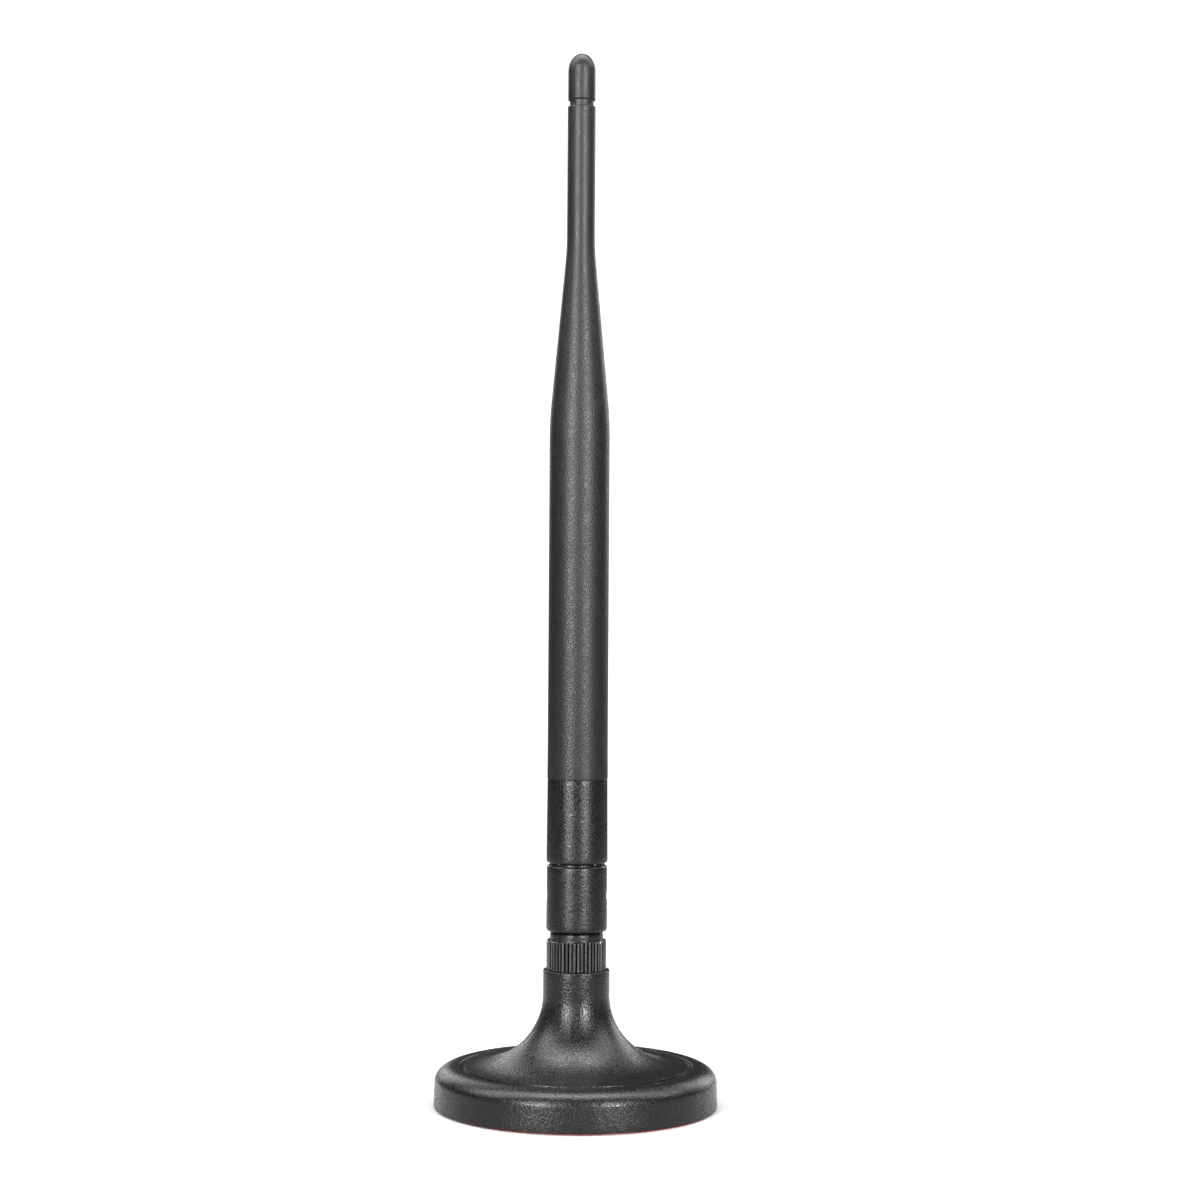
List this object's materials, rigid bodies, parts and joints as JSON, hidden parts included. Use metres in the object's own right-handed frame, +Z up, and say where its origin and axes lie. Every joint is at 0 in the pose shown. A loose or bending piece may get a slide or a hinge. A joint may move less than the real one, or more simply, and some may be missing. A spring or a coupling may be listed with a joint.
{
  "type": "omnidirectional antenna",
  "caption": "Slim whip antenna with a tapered mast, a tilting and swivelling hinge and a knurled screw coupling, standing on a round weighted base with a trumpet stem.",
  "frame": {"origin": "centre of the base's underside, on the axis of the upright whip", "axes": "+Z up along the whip, -Y to the front, where the knuckle's wall is closed, +Y to the back, where the whip folds and the cable leaves the base"},
  "size_m": [0.0604, 0.0604, 0.2238],
  "materials": {
    "base_plastic": "dark grey ABS moulding with a fine spark-eroded grain",
    "dark_plastic": "near-black moulding, satin to glossy, fine grain",
    "sheath_rubber": "dark grey soft moulding, matt, fine grain",
    "inner_plastic": "black moulded cover, plain",
    "ferrite": "dark sintered ferrite",
    "steel": "zinc-plated steel",
    "brass": "turned brass",
    "gold_plate": "gold-plated contact",
    "copper_wire": "bare copper wire",
    "white_insulator": "white PTFE and polyethylene",
    "coax_jacket": "brown FEP jacket",
    "black_rubber": "black rubber",
    "grey_foam": "thin adhesive foam",
    "red_film": "thin red peel-off film"
  },
  "bodies": {
    "base": {"base_shell": "base_plastic", "base_plate": "inner_plastic", "base_screw_1": "steel", "base_screw_2": "steel", "base_screw_3": "steel", "magnet_ring": "ferrite", "magnet_yoke": "steel", "cable_grommet": "black_rubber", "base_pad": "grey_foam", "release_liner": "red_film", "jack_body": "brass", "jack_insulator": "white_insulator", "jack_contact": "gold_plate", "jack_washer": "steel", "jack_lock_nut": "brass"},
    "connector": {"connector_body": "brass", "connector_insulator": "white_insulator", "connector_contact": "gold_plate", "connector_gasket": "black_rubber", "nut_retaining_ring": "steel", "swivel_clip": "steel", "friction_ring": "black_rubber"},
    "coupling_nut": {"knurled_shell": "dark_plastic", "nut_insert": "brass"},
    "knuckle": {"knuckle_body": "dark_plastic", "pivot_pin_left": "steel", "pivot_pin_right": "steel", "coax_flex": "coax_jacket"},
    "whip": {"whip_collar": "dark_plastic", "whip_sheath": "sheath_rubber", "tip_cap": "sheath_rubber", "coax_feed": "coax_jacket", "choke_sleeve": "brass", "radiator_wire": "copper_wire", "spacer_lower": "white_insulator", "spacer_upper": "white_insulator"}
  },
  "joints": [
    {"name": "antenna_lift", "type": "slide", "parent": "base", "child": "connector", "axis": [0, 0, 1], "range_m": [0, 0.00423]},
    {"name": "nut_spin", "type": "hinge", "parent": "connector", "child": "coupling_nut", "pos_m": [0, 0, 0.0325], "axis": [0, 0, 1], "range_deg": [0, 2160]},
    {"name": "swivel", "type": "hinge", "parent": "connector", "child": "knuckle", "pos_m": [0, 0, 0.038], "axis": [0, 0, 1], "range_deg": [-180, 180]},
    {"name": "tilt", "type": "hinge", "parent": "knuckle", "child": "whip", "pos_m": [0, 0, 0.0447], "axis": [-1, 0, 0], "range_deg": [0, 90], "deforming": ["coax_flex"]}
  ],
  "couplings": [
    {"joint": "nut_spin", "follows": "antenna_lift", "rad_per_m": 8904.7}
  ]
}
